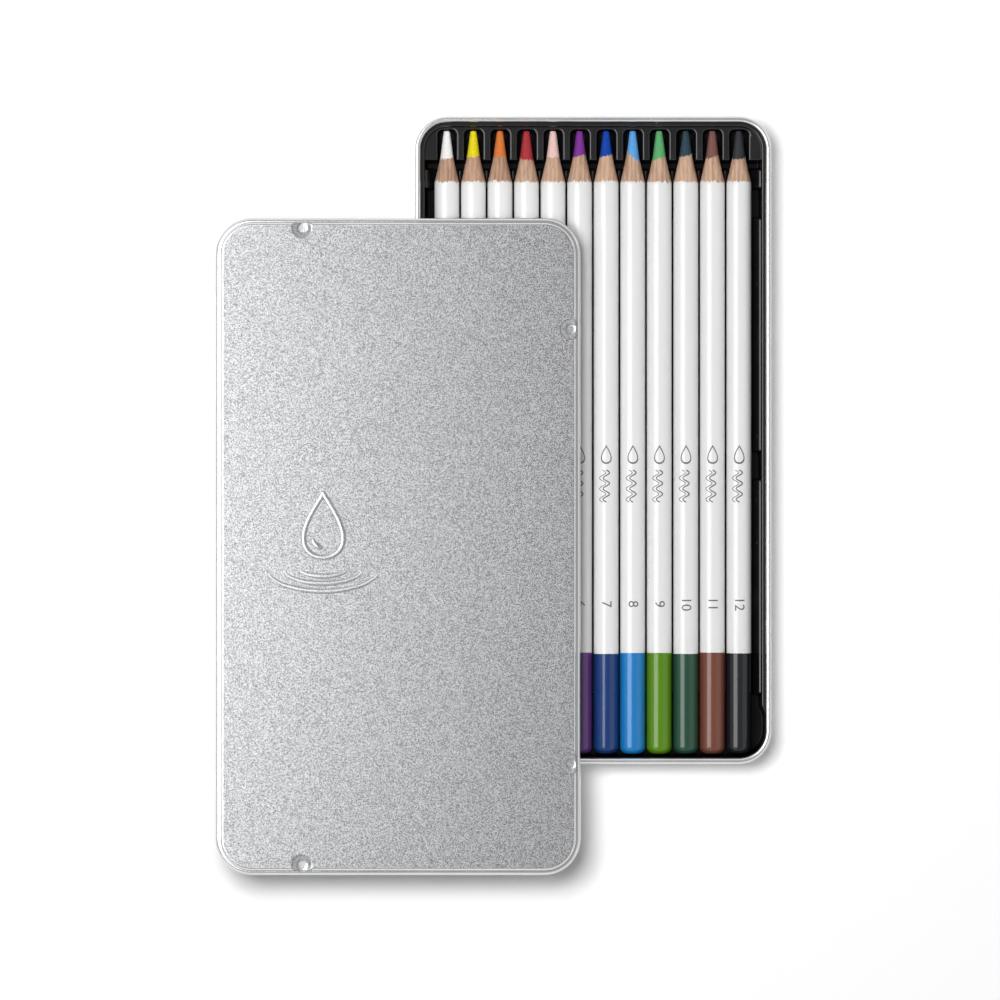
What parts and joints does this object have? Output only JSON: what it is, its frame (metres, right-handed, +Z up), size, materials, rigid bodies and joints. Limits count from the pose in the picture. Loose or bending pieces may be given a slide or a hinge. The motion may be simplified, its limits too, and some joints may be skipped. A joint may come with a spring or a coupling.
{
  "type": "watercolor pencil set",
  "caption": "Slim silver tin of watercolor pencils: white lacquered pencils with coloured ends lie in a black formed tray, and the frosted lift-off lid rests across the open base.",
  "frame": {"origin": "middle of the tin base's flat underside", "axes": "+Z up, +Y along the pencils towards their points, +X across the row from the white pencil to the black one"},
  "size_m": [0.1556, 0.2124, 0.0201],
  "materials": {
    "tin_bright": "bright tinplate",
    "lid_frosted": "frosted silver with bright edges",
    "tray_black": "glossy black formed sheet",
    "pencil_wood": "bare sharpened wood",
    "lacquer_white": "satin white lacquer",
    "core_white": "waxy pigment core",
    "dip_white": "glossy dipped lacquer",
    "core_yellow": "waxy pigment core",
    "dip_yellow": "glossy dipped lacquer",
    "core_orange": "waxy pigment core",
    "dip_orange": "glossy dipped lacquer",
    "core_red": "waxy pigment core",
    "dip_red": "glossy dipped lacquer",
    "core_pink": "waxy pigment core",
    "dip_pink": "glossy dipped lacquer",
    "core_purple": "waxy pigment core",
    "dip_purple": "glossy dipped lacquer",
    "core_blue": "waxy pigment core",
    "dip_blue": "glossy dipped lacquer",
    "core_sky_blue": "waxy pigment core",
    "dip_sky_blue": "glossy dipped lacquer",
    "core_green": "waxy pigment core",
    "dip_green": "glossy dipped lacquer",
    "core_dark_green": "waxy pigment core",
    "dip_dark_green": "glossy dipped lacquer",
    "core_brown": "waxy pigment core",
    "dip_brown": "glossy dipped lacquer",
    "core_black": "waxy pigment core",
    "dip_black": "glossy dipped lacquer"
  },
  "bodies": {
    "tin": {"tin_base": "tin_bright", "pencil_tray": "tray_black"},
    "lid": {"lid": "lid_frosted"},
    "white_pencil": {"white_pencil_core": "core_white", "white_pencil_casing": "pencil_wood", "white_pencil_lacquer": "lacquer_white", "white_pencil_end_dip": "dip_white"},
    "yellow_pencil": {"yellow_pencil_core": "core_yellow", "yellow_pencil_casing": "pencil_wood", "yellow_pencil_lacquer": "lacquer_white", "yellow_pencil_end_dip": "dip_yellow"},
    "orange_pencil": {"orange_pencil_core": "core_orange", "orange_pencil_casing": "pencil_wood", "orange_pencil_lacquer": "lacquer_white", "orange_pencil_end_dip": "dip_orange"},
    "red_pencil": {"red_pencil_core": "core_red", "red_pencil_casing": "pencil_wood", "red_pencil_lacquer": "lacquer_white", "red_pencil_end_dip": "dip_red"},
    "pink_pencil": {"pink_pencil_core": "core_pink", "pink_pencil_casing": "pencil_wood", "pink_pencil_lacquer": "lacquer_white", "pink_pencil_end_dip": "dip_pink"},
    "purple_pencil": {"purple_pencil_core": "core_purple", "purple_pencil_casing": "pencil_wood", "purple_pencil_lacquer": "lacquer_white", "purple_pencil_end_dip": "dip_purple"},
    "blue_pencil": {"blue_pencil_core": "core_blue", "blue_pencil_casing": "pencil_wood", "blue_pencil_lacquer": "lacquer_white", "blue_pencil_end_dip": "dip_blue"},
    "sky_blue_pencil": {"sky_blue_pencil_core": "core_sky_blue", "sky_blue_pencil_casing": "pencil_wood", "sky_blue_pencil_lacquer": "lacquer_white", "sky_blue_pencil_end_dip": "dip_sky_blue"},
    "green_pencil": {"green_pencil_core": "core_green", "green_pencil_casing": "pencil_wood", "green_pencil_lacquer": "lacquer_white", "green_pencil_end_dip": "dip_green"},
    "dark_green_pencil": {"dark_green_pencil_core": "core_dark_green", "dark_green_pencil_casing": "pencil_wood", "dark_green_pencil_lacquer": "lacquer_white", "dark_green_pencil_end_dip": "dip_dark_green"},
    "brown_pencil": {"brown_pencil_core": "core_brown", "brown_pencil_casing": "pencil_wood", "brown_pencil_lacquer": "lacquer_white", "brown_pencil_end_dip": "dip_brown"},
    "black_pencil": {"black_pencil_core": "core_black", "black_pencil_casing": "pencil_wood", "black_pencil_lacquer": "lacquer_white", "black_pencil_end_dip": "dip_black"}
  },
  "joints": [
    {"name": "lid_lift", "type": "slide", "parent": "tin", "child": "lid", "axis": [0, 0, 1], "range_m": [0, 0.12]},
    {"name": "white_pencil_roll", "type": "hinge", "parent": "tin", "child": "white_pencil", "pos_m": [-0.04103, -0.00063, 0.00558], "axis": [0, 1, 0], "continuous": true},
    {"name": "yellow_pencil_roll", "type": "hinge", "parent": "tin", "child": "yellow_pencil", "pos_m": [-0.03357, -0.00063, 0.00558], "axis": [0, 1, 0], "continuous": true},
    {"name": "orange_pencil_roll", "type": "hinge", "parent": "tin", "child": "orange_pencil", "pos_m": [-0.02611, -0.00063, 0.00558], "axis": [0, 1, 0], "continuous": true},
    {"name": "red_pencil_roll", "type": "hinge", "parent": "tin", "child": "red_pencil", "pos_m": [-0.01865, -0.00063, 0.00558], "axis": [0, 1, 0], "continuous": true},
    {"name": "pink_pencil_roll", "type": "hinge", "parent": "tin", "child": "pink_pencil", "pos_m": [-0.01119, -0.00063, 0.00558], "axis": [0, 1, 0], "continuous": true},
    {"name": "purple_pencil_roll", "type": "hinge", "parent": "tin", "child": "purple_pencil", "pos_m": [-0.00373, -0.00063, 0.00558], "axis": [0, 1, 0], "continuous": true},
    {"name": "blue_pencil_lift", "type": "slide", "parent": "tin", "child": "blue_pencil", "axis": [0, 0, 1], "range_m": [0, 0.06]},
    {"name": "sky_blue_pencil_lift", "type": "slide", "parent": "tin", "child": "sky_blue_pencil", "axis": [0, 0, 1], "range_m": [0, 0.06]},
    {"name": "green_pencil_lift", "type": "slide", "parent": "tin", "child": "green_pencil", "axis": [0, 0, 1], "range_m": [0, 0.06]},
    {"name": "dark_green_pencil_lift", "type": "slide", "parent": "tin", "child": "dark_green_pencil", "axis": [0, 0, 1], "range_m": [0, 0.06]},
    {"name": "brown_pencil_lift", "type": "slide", "parent": "tin", "child": "brown_pencil", "axis": [0, 0, 1], "range_m": [0, 0.06]},
    {"name": "black_pencil_lift", "type": "slide", "parent": "tin", "child": "black_pencil", "axis": [0, 0, 1], "range_m": [0, 0.06]}
  ]
}
